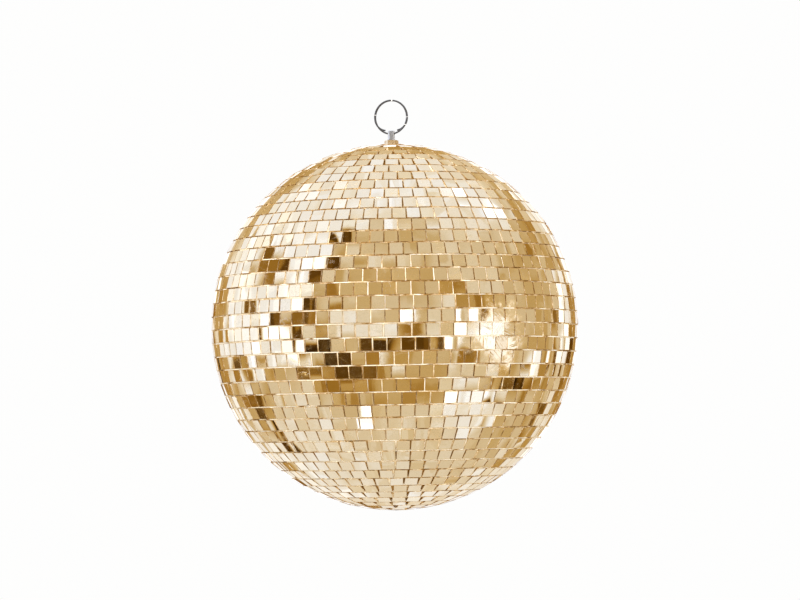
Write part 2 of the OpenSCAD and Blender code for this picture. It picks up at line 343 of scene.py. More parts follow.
def round_coords(net):
    """Angle round the ball, and distance up its surface in metres."""
    x, y, z = net.xyz(net.position())
    azimuth = net.math("ARCTAN2", y, x)
    radius = net.math("SQRT", x * x + y * y)
    return azimuth, net.math("ARCTAN2", z, radius) * CLOTH_RADIUS


def backing_cloth():
    """Thin plain-weave strip, stiff with adhesive."""
    warps_per_radian, weft_pitch = 1480.0, 0.00062
    net = new_material("backing_cloth")
    azimuth, height = round_coords(net)
    warp = net.math("SINE", azimuth * warps_per_radian)
    weft = net.math("SINE", height * (2 * math.pi / weft_pitch))
    weave = (warp * weft).times_plus(0.5, 0.5)
    thread = abs(warp).max(abs(weft))
    stain = net.noise(net.position(), scale=60.0, detail=4.0, rough=0.6)
    base = net.ramp(stain, [(0.3, (0.30, 0.16, 0.04)), (0.5, (0.52, 0.32, 0.11)),
                            (0.7, (0.76, 0.55, 0.27))])
    # painted shade: darker between the threads
    base = net.mix(net.math("SUBTRACT", 1.0, thread) * 0.55, base, (0.20, 0.10, 0.02, 1))
    return net.finish(net.principled(
        Base_Color=base, Roughness=0.8, Sheen_Weight=0.1, Sheen_Roughness=0.5,
        Normal=net.bump(weave * 0.6 + thread * 0.4, strength=0.7, distance=0.00012)))


def adhesive():
    """Dried contact adhesive: glossy, lumpy, yellowed."""
    net = new_material("adhesive")
    pos = net.position()
    lump = net.noise(pos, scale=420.0, detail=3.0, rough=0.5, distort=0.4)
    age = net.noise(pos, scale=45.0, detail=3.0, rough=0.6)
    base = net.ramp(age, [(0.3, (0.60, 0.42, 0.17)), (0.5, (0.84, 0.68, 0.40)),
                          (0.72, (0.97, 0.90, 0.72))])
    return net.finish(net.principled(
        Base_Color=base, Roughness=lump.remap((0.3, 0.7), to=(0.25, 0.5)), IOR=1.48,
        Coat_Weight=0.3, Coat_Roughness=0.2,
        Normal=net.bump(lump, strength=0.8, distance=0.0004), Subsurface_Weight=0.1,
        Subsurface_Radius=(0.001, 0.0007, 0.0003), Subsurface_Scale=0.5))


def creped_tape():
    """Creped paper tape."""
    net = new_material("creped_tape")
    azimuth, height = round_coords(net)
    crepe = net.noise(net.combine(azimuth * 160.0, height * 260.0, 0.0),
                      scale=1.0, detail=3.0, rough=0.6)
    base = net.ramp(crepe, [(0.3, (0.62, 0.52, 0.36)), (0.7, (0.84, 0.76, 0.58))])
    return net.finish(net.principled(
        Base_Color=base, Roughness=0.75,
        Normal=net.bump(crepe, strength=0.6, distance=0.0001)))


def moulded_styrene():
    """Off-white moulded plastic with a fine grain."""
    net = new_material("moulded_styrene")
    pos = net.position()
    cloud = net.noise(pos, scale=30.0, detail=4.0, rough=0.6)
    grain = net.noise(pos, scale=2200.0, detail=2.0, rough=0.5)
    base = net.ramp(cloud, [(0.3, (0.60, 0.57, 0.50)), (0.7, (0.72, 0.69, 0.61))])
    return net.finish(net.principled(
        Base_Color=base, Roughness=cloud.remap((0.3, 0.7), to=(0.42, 0.6)),
        Normal=net.bump(grain, strength=0.3, distance=0.00003)))


def turned_steel(name, light, dark, rough, tool_mm, fine_axes="z", spots=0.35, metal=1.0,
                 relief=0.2, paint_dark_reflection=False, painted_highlight_spots=()):
    """Bright turned or drawn steel: fine tool marks, handling marks, slight tarnish; if asked,
    a painted dark reflection where it faces the eye and painted highlight spots.
    """
    net = new_material(name)
    pos = net.position()
    scale = [1000.0 / tool_mm if axis in fine_axes else 60.0 for axis in "xyz"]
    marks = net.noise(net.mapping(pos, scale=scale), scale=1.0, detail=3.0, rough=0.65)
    blot = net.noise(pos, scale=420.0, detail=4.0, rough=0.6)
    base = net.mix(blot.remap((0.35, 0.7)), (*light, 1), (*dark, 1))
    # painted reflection: the steel is darkened where it faces the eye, standing in for the dark
    # surroundings it reflects
    if paint_dark_reflection:      # darker where it faces the eye
        facing = net.value("ShaderNodeLayerWeight", {"Blend": 0.5}, "Facing")
        rim = facing.remap((0.02, 0.34), smooth=True)
        base = net.mix(rim, net.mix(0.62, base, (0.10, 0.105, 0.12, 1)), base)
    # painted highlights: whiter, non-metallic spots at set angles round the ring, where the
    # wire would catch the light
    if painted_highlight_spots:
        x, _, z = net.xyz(pos)
        angle = net.math("ARCTAN2", x, z - RING_MIDDLE_Z)
        painted_glint = 0.0
        for degrees, half in painted_highlight_spots:
            away = abs(angle - math.radians(degrees))
            away = net.noise(pos, scale=900.0, detail=2.0, rough=0.5).times_plus(
                math.radians(2.5), away)
            limits = (math.radians(half + 0.6), math.radians(half + 1.8))
            painted_glint = net.math("MAXIMUM", painted_glint, away.remap(limits, to=(1, 0)))
        base = net.mix(painted_glint, base, (0.90, 0.92, 0.95, 1))
        metal = net.mix_value(painted_glint, metal, 0.0)
    roughness = (marks.remap((0.3, 0.7), to=(rough * 0.7, rough * 1.4))
                 + blot.remap((0.55, 0.75), to=(0.0, spots * 0.3)))
    return net.finish(net.principled(
        Base_Color=base, Metallic=metal, Roughness=roughness, Anisotropic=0.3,
        Normal=net.bump(marks, strength=relief, distance=0.00004)))


def yellow_plating():
    """Yellowish plated metal."""
    net = new_material("yellow_plating")
    pos = net.position()
    blot = net.noise(pos, scale=260.0, detail=4.0, rough=0.6)
    fine = net.noise(pos, scale=1800.0, detail=3.0, rough=0.6)
    base = net.ramp(blot, [(0.3, (0.74, 0.54, 0.32)), (0.5, (0.87, 0.70, 0.48)),
                           (0.75, (0.96, 0.86, 0.68))])
    return net.finish(net.principled(
        Base_Color=base, Metallic=1.0, Roughness=fine.remap((0.3, 0.7), to=(0.24, 0.42)),
        Normal=net.bump(fine, strength=0.35, distance=0.00005)))


def nylon_blue():
    """Blue nylon of the lock nut's insert."""
    net = new_material("nylon_blue")
    grain = net.noise(net.position(), scale=900.0, detail=3.0, rough=0.5)
    base = net.ramp(grain, [(0.3, (0.10, 0.20, 0.45)), (0.7, (0.16, 0.28, 0.58))])
    return net.finish(net.principled(
        Base_Color=base, Roughness=0.45,
        Normal=net.bump(grain, strength=0.2, distance=0.00003)))


TILE_MATERIALS = (mirror_gold(), glass_edge(), backing_lacquer(), rubbed_arris())
FACE, EDGE, BACK, ARRIS = range(4)      # slots of the tile materials
BEAD = adhesive_bead()
CLOTH = backing_cloth()
GLUE = adhesive()
TAPE = creped_tape()
CORE = moulded_styrene()
# the pin's middle is darkened as a painted reflection
PIN = turned_steel("pin_steel", light=(0.66, 0.69, 0.76), dark=(0.57, 0.60, 0.66), rough=0.2,
                   tool_mm=0.3, metal=0.45, relief=0.05, paint_dark_reflection=True)
# painted highlight spots: angle from +Z towards +X round the ring, half width, in degrees
RING = turned_steel("ring_wire", light=(0.15, 0.16, 0.185), dark=(0.105, 0.112, 0.13),
                    rough=0.24, tool_mm=0.4, fine_axes="xy", spots=0.2, metal=0.7, relief=0.1,
                    painted_highlight_spots=((5, 2.2), (-81, 1.2), (91, 1.0), (118, 1.6)))
PLATE = turned_steel("plate_steel", light=(0.66, 0.67, 0.70), dark=(0.50, 0.51, 0.53),
                     rough=0.34, tool_mm=0.5)
PLATING = yellow_plating()
NYLON = nylon_blue()

# ------------------------------------------------------------------ mirror tiles

TILE_INSET = 0.015 * MM         # taken off each side of the CAD box
LACQUER_DEPTH = 0.20 * MM
BROKEN_BELOW = 0.07             # a corner's draw below this breaks it,
BLUNT_BELOW = 0.24              # and below this blunts it
NIBBLE_CHANCE = 0.12

# across points round the ball, up points up it and out away from its middle
Tile = namedtuple("Tile", "middle across up out half_width half_height thickness")

rng = random.Random(4127)


def random_mm(low, high):
    return rng.uniform(low, high) * MM


def new_object(name, data):
    made = bpy.data.objects.new(name, data)
    scene.collection.objects.link(made)
    return made


def split_boxes(mesh):
    """The corner points of each separate box in a mesh."""
    coords = np.array([vert.co for vert in mesh.vertices], float)
    keys = {}
    corners = [keys.setdefault(tuple(point), len(keys))
               for point in np.round(coords * 1e6).astype(int)]
    parent = list(range(len(keys)))

    def root(i):
        while parent[i] != i:
            parent[i] = parent[parent[i]]
            i = parent[i]
        return i

    for polygon in mesh.polygons:
        first, *rest = (corners[i] for i in polygon.vertices)
        for other in rest:
            parent[root(first)] = root(other)
    boxes, seen = {}, set()
    for point, corner in zip(coords, corners):
        if corner not in seen:
            seen.add(corner)
            boxes.setdefault(root(corner), []).append(point)
    return [np.array(points) for points in boxes.values()]


def measure_tile(points):
    """Read a box's axes and sizes from its corners; the shortest edge is its thickness."""
    middle = points.mean(0)
    lengths = np.linalg.norm(points - points[0], axis=1)
    order = np.argsort(lengths)
    thickness = lengths[order[1]]
    depth, side_a = points[order[1]] - points[0], points[order[2]] - points[0]
    length_a = np.linalg.norm(side_a)
    side_b = next(side for side in (points[i] - points[0] for i in order[3:])
                  if abs(side @ side_a) < 0.05 * thickness * length_a
                  and abs(side @ depth) < 0.05 * thickness * np.linalg.norm(side))
    length_b = np.linalg.norm(side_b)
    side_a, side_b = side_a / length_a, side_b / length_b
    out = np.cross(side_a, side_b)
    out /= np.linalg.norm(out)
    if out @ middle < 0:
        out = -out
    x, y, z = middle
    if abs(z) > 0.98 * np.linalg.norm(middle) and math.hypot(x, y) < 1e-4:
        across = side_a if length_a >= length_b else side_b      # on the pole
    else:
        east = np.array([-y, x, 0.0])
        east /= np.linalg.norm(east)
        across = max((side_a, -side_a, side_b, -side_b), key=lambda side: side @ east)
    halves = (length_a / 2, length_b / 2)
    if abs(across @ side_a) <= 0.5:
        halves = halves[::-1]
    return Tile(middle, across, np.cross(out, across), out, *halves, thickness)


def azimuth_of(tile):
    return math.atan2(tile.middle[1], tile.middle[0])


def tiles_of(ob):
    """The tiles of a CAD row, sorted round the ball."""
    tiles = [measure_tile(points) for points in split_boxes(ob.data)]
    return sorted(tiles, key=lambda tile: round(azimuth_of(tile), 4))


def corner_points(far_x, far_y):
    """One hand-cut corner at (far_x, far_y): broken, blunt or nearly sharp."""
    roll = rng.random()
    if roll < BROKEN_BELOW:
        cut_x, cut_y = random_mm(0.6, 1.7), random_mm(0.6, 1.7)
        mid_x = far_x - cut_x * 0.42 + random_mm(-0.10, 0.10)
        mid_y = far_y - cut_y * 0.42 + random_mm(-0.10, 0.10)
        dip = 0.04 * MM
        return [(far_x, far_y - cut_y),
                ((far_x + mid_x) / 2 - dip, (far_y - cut_y + mid_y) / 2),
                (mid_x, mid_y),
                ((far_x - cut_x + mid_x) / 2, (far_y + mid_y) / 2 - dip),
                (far_x - cut_x, far_y)]
    if roll < BLUNT_BELOW:
        cut_x, cut_y = random_mm(0.3, 0.7), random_mm(0.3, 0.7)
        return [(far_x, far_y - cut_y), (far_x - cut_x * 0.26, far_y - cut_y * 0.26),
                (far_x - cut_x, far_y)]
    cut = random_mm(0.06, 0.16)
    return [(far_x, far_y - cut), (far_x - cut, far_y)]


def edge_points(far_x, far_y):
    """The edge after a corner, with a nibble or a slight wander."""
    if rng.random() < NIBBLE_CHANCE:
        x = rng.uniform(-0.6, 0.6) * far_x
        width, depth = random_mm(0.25, 0.6), random_mm(0.08, 0.26)
        lip = far_y - 0.01 * MM
        return [(x + width, lip), (x + width * 0.2, far_y - depth), (x - width, lip)]
    return [(rng.uniform(-0.4, 0.4) * far_x, far_y - random_mm(0, 0.05))]


def tile_outline(half_width, half_height):
    """Four corners and edges, each made at the first corner and turned into place."""
    points = []
    for k in range(4):
        cos, sin = math.cos(k * math.pi / 2), math.sin(k * math.pi / 2)
        far = (half_width, half_height) if k % 2 == 0 else (half_height, half_width)
        points += [(x * cos - y * sin, x * sin + y * cos)
                   for x, y in corner_points(*far) + edge_points(*far)]
    return points


def random_cup(slight_share, spread, low, high):
    """How much a tile is cupped along one axis: mostly slight, now and then strong."""
    if rng.random() < slight_share:
        return rng.gauss(0, spread)
    return rng.choice((-1, 1)) * rng.uniform(low, high)


def build_row(name, tiles):
    """One row of cut mirror tiles: front face, ground arris, cut edge, lacquered back."""
    verts, faces, slots, uvs = [], [], [], []
    looks = {"tile_var": [], "tile_lie": [], "tile_tone": []}
    for tile in tiles:
        points = tile_outline(tile.half_width - TILE_INSET, tile.half_height - TILE_INSET)
        count = len(points)
        bevel = random_mm(0.03, 0.08)
        half = tile.thickness / 2
        # scale of the outline and height, from the face to the back
        levels = [(1 - bevel / tile.half_width, half), (1.0, half - bevel * 0.8),
                  (1.0, -half + LACQUER_DEPTH), (0.996, -half)]
        start = len(verts)
        for scale, height in levels:
            for x, y in points:
                verts.append(tile.middle + tile.across * (x * scale) + tile.up * (y * scale)
                             + tile.out * height)
        # tint (partly painted reflection), haze, turn of the wipe marks
        var = (rng.random(), min(1.0, rng.expovariate(3.2)), rng.random())
        spread = 0.010 if rng.random() < 0.8 else 0.026
        lie = (rng.gauss(0, spread), rng.gauss(0, spread), 0.0)     # tilt across and up
        # cup across, cup up, spare random value
        tone = (random_cup(0.62, spread=0.008, low=0.015, high=0.048),
                random_cup(0.80, spread=0.006, low=0.010, high=0.032), rng.random())

        def add_face(ids, slot):
            faces.append([start + i for i in ids])
            slots.append(slot)
            looks["tile_var"].append(var)
            looks["tile_lie"].append(lie if slot == FACE else (0, 0, 0))
            looks["tile_tone"].append(tone)
            for i in ids:
                x, y = points[i % count]
                uvs.append((0.5 + 0.5 * x / tile.half_width, 0.5 + 0.5 * y / tile.half_height))

        add_face(range(count), FACE)
        for level, slot in enumerate((ARRIS, EDGE, BACK)):
            upper, lower = level * count, (level + 1) * count
            for i in range(count):
                j = (i + 1) % count
                add_face([lower + i, lower + j, upper + j, upper + i], slot)
        add_face([3 * count + i for i in reversed(range(count))], BACK)
    mesh = bpy.data.meshes.new(name)
    mesh.from_pydata([tuple(vert) for vert in verts], [], faces)
    for mat in TILE_MATERIALS:
        mesh.materials.append(mat)
    mesh.polygons.foreach_set("material_index", slots)
    layer = mesh.uv_layers.new(name="tile_uv")
    layer.data.foreach_set("uv", [x for pair in uvs for x in pair])
    for look, vectors in looks.items():
        attribute = mesh.attributes.new(look, "FLOAT_VECTOR", "FACE")
        attribute.data.foreach_set("vector", [x for vector in vectors for x in vector])
    mesh.validate()
    mesh.update()
    return new_object(name, mesh)


# ------------------------------------------------------------------ adhesive beads
# Fills are heights in mm above the tiles' backs; a bead's section has five points.

BEAD_ROOT = 0.35 * MM       # how far a bead reaches below the tiles' backs
SECTION = 5


def add_tube(verts, faces, sections, closed=False):
    """Skin a run of sections, with capped ends or closed into a ring."""
    start, count, sides = len(verts), len(sections), len(sections[0])
    for section in sections:
        verts.extend(section)
    for i in range(count if closed else count - 1):
        here, there = start + i * sides, start + (i + 1) % count * sides
        for j in range(sides):
            k = (j + 1) % sides
            faces.append((here + j, here + k, there + k, there + j))
    if not closed:
        faces.append(tuple(start + j for j in reversed(range(sides))))
        faces.append(tuple(start + (count - 1) * sides + j for j in range(sides)))


def add_side_beads(tiles, verts, faces, tints):
    """Adhesive between neighbours in one row."""
    for i, tile in enumerate(tiles):
        after = tiles[(i + 1) % len(tiles)]
        out = (tile.out + after.out) / np.linalg.norm(tile.out + after.out)
        near_equator = math.exp(-(out[2] / 0.42) ** 2)
        upper = min(1.0, max(0.0, (out[2] - 0.25) / 0.2))
        filled = rng.random() < (0.30 + 0.32 * near_equator) * (1 - 0.7 * upper)
        taper = rng.choice((-1, 0, 1)) * rng.uniform(0.2, 0.7)
        full = rng.uniform(1.10, 1.36) if filled else rng.uniform(0.0, 0.30)
        # painted shade and light: a bead left low in its gap is darker, and darker still high
        # on the ball
        tint = (rng.uniform(0.45, 0.80) if filled else rng.uniform(0.0, 0.35)) - 0.15 * upper
        sections = []
        for along in (-1.0, -0.5, 0.0, 0.5, 1.0):
            side = (tile.middle + tile.across * tile.half_width
                    + tile.up * tile.half_height * along)
            facing = (after.middle - after.across * after.half_width
                      + after.up * after.half_height * along)
            gap = np.linalg.norm(facing - side)
            fill = (full * math.exp(-max(0.0, gap / MM - 0.9) / 0.9)
                    - max(0.0, taper * along) * 1.2)
            back, after_back = -tile.thickness / 2, -after.thickness / 2
            top = back + (fill + rng.uniform(-0.12, 0.08)) * MM
            after_top = after_back + (fill + rng.uniform(-0.12, 0.08)) * MM
            mid_top = back + (fill + rng.uniform(-0.30, 0.04)) * MM
            tints += [tint] * SECTION
            sections.append([side + out * (back - BEAD_ROOT), side + out * top,
                             (side + facing) / 2 + out * mid_top, facing + out * after_top,
                             facing + out * (after_back - BEAD_ROOT)])
        add_tube(verts, faces, sections)


def row_edge(tiles, side):
    """Azimuths, polar angles and radii of a row's upper (side 1) or lower (-1) back edge."""
    found = []
    for tile in tiles:
        x, y, z = point = (tile.middle + tile.up * tile.half_height * side
                           - tile.out * tile.thickness / 2)
        found.append((azimuth_of(tile), math.atan2(math.hypot(x, y), z),
                      np.linalg.norm(point)))
    table = np.array(found).T
    table = table[:, np.argsort(table[0])]
    table = np.concatenate([table[:, -1:], table, table[:, :1]], axis=1)
    table[0, 0] -= 2 * math.pi
    table[0, -1] += 2 * math.pi
    return table


def add_ring_bead(lower, upper, verts, faces, tints):
    """A ring of adhesive between one row and the next above it."""
    count = 3 * max(len(lower), len(upper))
    lower_az, lower_polar, lower_radius = row_edge(lower, 1)
    upper_az, upper_polar, upper_radius = row_edge(upper, -1)
    sections, full, tint = [], 0.4, 0.2
    for i in range(count):
        azimuth = -math.pi + 2 * math.pi * i / count
        low = np.interp(azimuth, lower_az, lower_polar)
        high = np.interp(azimuth, upper_az, upper_polar)
        radius = (np.interp(azimuth, lower_az, lower_radius)
                  + np.interp(azimuth, upper_az, upper_radius)) / 2

        def point(polar, height):
            reach = radius + height
            return (reach * math.sin(polar) * math.cos(azimuth),
                    reach * math.sin(polar) * math.sin(azimuth), reach * math.cos(polar))

        # share of full stretches, their least fill and their tints, by height on the ball; the
        # tints are painted light and shade: paler low on the ball, where less light comes from
        # below, darker high up
        if low > 1.65:
            share, least, tint_range = 0.74, 1.12, (0.45, 1.15)
        elif low < 1.20:
            share, least, tint_range = 0.22, 1.0, (0.15, 0.6)
        else:
            share, least, tint_range = 0.60, 1.0, (0.32, 0.85)
        if rng.random() < 0.40:     # a new stretch starts
            if rng.random() < share:
                full, tint = rng.uniform(least, 1.40), rng.uniform(*tint_range)
            else:
                # painted shade: a stretch left low in the gap gets a darker tone
                full, tint = rng.uniform(0.3, 0.9), rng.uniform(0.1, 0.5)
        tints += [tint] * SECTION
        sections.append([point(low, -BEAD_ROOT),
                         point(low, (full + rng.uniform(-0.15, 0.06)) * MM),
                         point((low + high) / 2, (full + rng.uniform(-0.35, 0.02)) * MM),
                         point(high, (full + rng.uniform(-0.15, 0.06)) * MM),
                         point(high, -BEAD_ROOT)])
    add_tube(verts, faces, sections, closed=True)


def build_beads(rows):
    verts, faces, tints = [], [], []
    for tiles in rows:
        add_side_beads(tiles, verts, faces, tints)
    for lower, upper in zip(rows[:-1], rows[1:]):
        add_ring_bead(lower, upper, verts, faces, tints)
    mesh = bpy.data.meshes.new("adhesive_beads")
    mesh.from_pydata([tuple(map(float, vert)) for vert in verts], [], faces)
    mesh.validate()
    edit = bmesh.new()
    edit.from_mesh(mesh)
    bmesh.ops.recalc_face_normals(edit, faces=edit.faces)
    edit.to_mesh(mesh)
    edit.free()
    mesh.materials.append(BEAD)
    mesh.attributes.new("bead_tone_and_shade", "FLOAT", "POINT").data.foreach_set("value", tints)
    return new_object("adhesive_beads", mesh)


rows = []
for node in ["bottom_tile"] + [name for name in sorted(nodes) if name.startswith("tile_row_")]:
    tiles = tiles_of(nodes[node])
    row = build_row("mirror_" + node, tiles)
    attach(row, "ball")
    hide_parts(node)
    if node != "bottom_tile":
        rows.append(tiles)
beads = build_beads(rows)
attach(beads, "ball")

# ------------------------------------------------------------------ CAD nodes that stay


def dress(node, mat, bevel):
    """Give a CAD node its material, smooth shading and, if bevel isn't 0, softened edges."""
    ob = nodes[node]
    ob.data.materials.clear()
    ob.data.materials.append(mat)
    ob.data.polygons.foreach_set("use_smooth", [True] * len(ob.data.polygons))
    if bevel:
        weld = ob.modifiers.new("weld", "WELD")
        weld.merge_threshold = 1e-6
        soften = ob.modifiers.new("bevel", "BEVEL")
        soften.width = bevel
        soften.segments = 2
        soften.limit_method = "ANGLE"
        soften.angle_limit = math.radians(30.0)
        soften.harden_normals = True


# node, material, bevel width
for entry in (
    ("backing_strips", CLOTH, 0), ("glue_coat", GLUE, 0), ("seam_tape", TAPE, 0),
    ("core_lower", CORE, 0), ("core_upper", CORE, 0), ("hanger_pin", PIN, 0.00012),
    ("split_ring", RING, 0), ("top_nut", PLATING, 0.00015), ("top_washer", PLATING, 0.00010),
    ("spreader_plate", PLATE, 0.0002), ("inner_washer", PLATE, 0.0001),
    ("lock_nut", PLATE, 0.00015), ("lock_nut_insert", NYLON, 0),
):
    dress(*entry)
for node in ("hanger_pin", "split_ring"):      # kept out of the small tiles round the hole
    nodes[node].visible_glossy = False

# ------------------------------------------------------------------ what the mirrors see

PALE = (0.99, 0.99, 0.985, 1.0)

# Patches seen from the ball: azimuth from the camera's place towards its right, elevation,
# half width, half height, tone from 0 dark to 1 white, softness of the edge. Angles in degrees.
ROOM = [
    # walls, floor and ceiling
    (-103, 17, 49, 36, 0.93, 3.0),      # tall window wall on the left
    (-122, 60, 68, 16, 0.88, 6.0),      # its upper lights
    (150, 62, 46, 17, 0.82, 6.0),       # pale ceiling behind right
    (-125, -56, 62, 22, 0.74, 6.0),     # pale boards on the left
    (0, 58, 50, 10, 0.46, 4.0),         # ceiling edge over the camera
    (-6, 27, 31, 12.5, 0.40, 2.5),      # wall over the camera
    (62, 36, 34, 9, 0.54, 3.0),         # pale wall right of the camera
    (76, -1, 19, 13, 0.46, 3.0), (65, -3, 5, 6, 0.96, 1.5),         # right window
    (108, 25, 30, 9, 0.38, 3.0), (106, 2, 14, 14, 0.42, 2.0),       # curtain over it
    (118, -34, 20, 9, 0.46, 4.0),       # floor under it
    (-4, -38, 42, 8, 0.29, 3.0), (-42, -35.5, 31, 4.3, 0.24, 1.5),  # floor before the camera
    (14, -18, 17, 8.5, 0.35, 1.5), (57, -24, 17, 9, 0.68, 2.0),
    (-22, -27.3, 18.5, 4.2, 0.15, 1.0), (-84, -36, 20, 8, 0.66, 3.0),       # rug
    (68, -50, 29, 14, 0.84, 3.0),       # sunlit floor
    (178, -2, 22, 26, 0.97, 4.0),       # bright backdrop
    (-165, -32, 26, 17, 0.90, 6.0), (162, -30, 24, 17, 0.84, 6.0),
    (-150, -3, 12, 15, 0.33, 2.0), (157, -4, 9, 10, 0.32, 1.5),     # open door
    (-165, 28, 18, 8, 0.36, 2.0), (148, 32, 17, 4.5, 0.34, 2.0),
    # rails, posts and furniture
    (-51, 54.0, 7.8, 7.3, 0.1, 1.0), (-42.5, 36.1, 7, 4.6, 0.06, 1.0),
    (-55, 27.3, 4.6, 4.3, 0.15, 1.0), (-43, 22.1, 4.4, 4.5, 0.22, 1.0),
    (-47, 14.1, 4.4, 4.5, 0.28, 1.0), (-98, 26.5, 19, 4.4, 0.19, 1.2),
    (-105, 7.8, 3, 3, 0.16, 1.0), (-80.5, 4.0, 8.3, 4.1, 0.08, 1.0),
    (-65, 4.5, 5.8, 4.5, 0.24, 1.0), (-54, 5.3, 7.3, 4.5, 0.11, 1.0),
    (-43.5, 5.6, 4.3, 4.5, 0.15, 1.0), (-92, -2.2, 4.4, 3.5, 0.15, 1.0),
    (-68, -2.4, 7, 4.3, 0.12, 1.0), (-50.5, -10.2, 9.5, 4.5, 0.03, 1.0),
    (-44, -10.4, 4.4, 4.5, 0.06, 1.0), (-48, -18.3, 4.4, 4.5, 0.03, 1.0),
    (-40, -18.7, 9.5, 4.5, 0.03, 1.0), (-61, -24.0, 7.5, 5.5, 0.06, 1.0),
    (-43.5, -26.9, 4.4, 4.5, 0.14, 1.0), (-13, -19.0, 6.2, 4.5, 0.14, 1.0),
    (-10.5, -10.8, 11.5, 4.2, 0.06, 1.0), (18, -10.7, 10.2, 4.5, 0.03, 1.0),
    (10, -2.6, 6.2, 4.5, 0.18, 1.0), (15, 5.7, 3, 4.2, 0.34, 1.0),
    (38, 22.0, 9, 4.2, 0.2, 1.2), (40.5, 14.0, 4.8, 4.5, 0.2, 1.0),
    (58, 12.9, 11, 4.2, 0.24, 1.2), (57.5, 5.4, 4.4, 4.3, 0.2, 1.0),
    (48.5, -18.0, 6.2, 4.5, 0.16, 1.0), (70, -22.3, 4.6, 4.1, 0.16, 1.0),
    (71, -35.3, 4.4, 4.1, 0.14, 1.0), (94, -24.1, 6, 3.9, 0.07, 1.0),
    (88, -31.8, 4.4, 3.9, 0.06, 1.0), (105, -28.2, 3.2, 3.2, 0.08, 1.0),
    (116, -11.0, 4, 3.2, 0.08, 1.0), (121, -18.0, 4, 3, 0.08, 1.0),
    (144, -50.0, 5, 4, 0.08, 1.0), (118, -15.0, 7, 7, 0.30, 1.5),
    (131, -8.0, 4.5, 4, 0.10, 1.0), (126, 3.0, 4.5, 5, 0.20, 1.0),
    (149, -8.0, 5, 7, 0.16, 1.5), (152, 10.0, 4, 9, 0.24, 1.5),
    (106, -27.0, 5, 3.6, 0.12, 1.0), (136, -27.0, 5, 6, 0.20, 1.5),
    (152, -31.0, 4, 9, 0.30, 2.0), (-126, -12.0, 9, 4, 0.16, 1.2),
    (-120, -23.0, 9, 4, 0.12, 1.2), (-96, -18.0, 4.8, 3.5, 0.28, 1.0),
    (-127, -31.0, 6, 4.5, 0.08, 1.0), (-133, -41.0, 6, 4.5, 0.06, 1.0),
    (-82, 31, 7, 4.0, 0.16, 1.0), (-105, 33, 8, 3.4, 0.17, 1.0),
    # lamps and panes
    (118, 54.0, 10, 14, 1, 3.0), (6.5, 5.7, 3.8, 4.2, 1.1, 1.0),
    (-8, -2.6, 10, 4.2, 0.82, 1.0), (-5, -19.0, 3.6, 4.2, 0.8, 1.0),
    (2.5, -27.3, 3.8, 4.2, 0.68, 1.0), (-31, -2.1, 7, 4.2, 0.74, 1.5),
    (30, 7.0, 9, 8, 0.66, 1.5), (51, 5.7, 4.6, 4, 1.1, 1.0),
    (43.5, -2.2, 4.4, 4.2, 1.1, 1.0), (38.5, -10.5, 4.8, 4.2, 1.1, 1.0),
    (-55, 37.3, 6, 5, 1.1, 1.0), (-82, -3.5, 5, 3.4, 1.1, 1.0),
    (104, -16, 8.5, 5, 1.0, 1.0), (137, 3.0, 5, 12, 1, 1.0),
    (142, 3.0, 5, 10, 0.92, 1.0), (-28, -54.0, 5.5, 4.5, 1.1, 1.0),
    (-35, -64.0, 7, 4.5, 1.05, 1.0), (48, -46.8, 8, 4.5, 1.1, 1.0),
    (66, -46.0, 8, 6, 1, 1.0),
]
# How tones 0.0 to 0.8, in steps of 0.1, look in the gold glass: sRGB, 0 to 255
TONES = [(42, 22, 2), (98, 61, 9), (156, 109, 36), (182, 141, 72), (195, 161, 103),
         (207, 179, 132), (217, 194, 154), (226, 208, 176), (236, 223, 200)]
# The brightest tones, as linear light
BRIGHT_STOPS = [(0.9, (0.474, 0.503, 0.580)), (1.0, (0.60, 0.64, 0.74))]
# Tone of the bare room from straight down (0) to straight up (1)
HEIGHT_TONES = [(0.00, 0.64), (0.067, 0.58), (0.146, 0.47), (0.25, 0.34), (0.37, 0.47),
                (0.50, 0.58), (0.63, 0.56), (0.75, 0.58), (0.854, 0.66), (0.933, 0.80),
                (1.00, 0.86)]
SOFT_STOPS = [(0.0, (0.74, 0.66, 0.52)), (0.42, (0.80, 0.74, 0.64)),
              (0.60, (0.92, 0.90, 0.87)), (1.0, (1.0, 0.99, 0.97))]
ROOM_SCALE = 1.028      # stretch of the angles before they are looked up


def linear(level):
    level /= 255.0
    return level / 12.92 if level <= 0.04045 else ((level + 0.055) / 1.055) ** 2.4


def room_stops():
    """Ramp from tone to light, with the mirror's own tint divided out."""
    glass = [0.985 * channel + 0.012 for channel in SILVERING]
    return [(i / 10.0, tuple(linear(level) / tint / 2.0 for level, tint in zip(tone, glass)))
            for i, tone in enumerate(TONES)] + BRIGHT_STOPS


def inside(offset, half, soft):
    """1 within half of the middle, falling softly to 0 outside."""
    return abs(offset).remap((half - soft, half + soft), to=(1, 0), smooth=True)


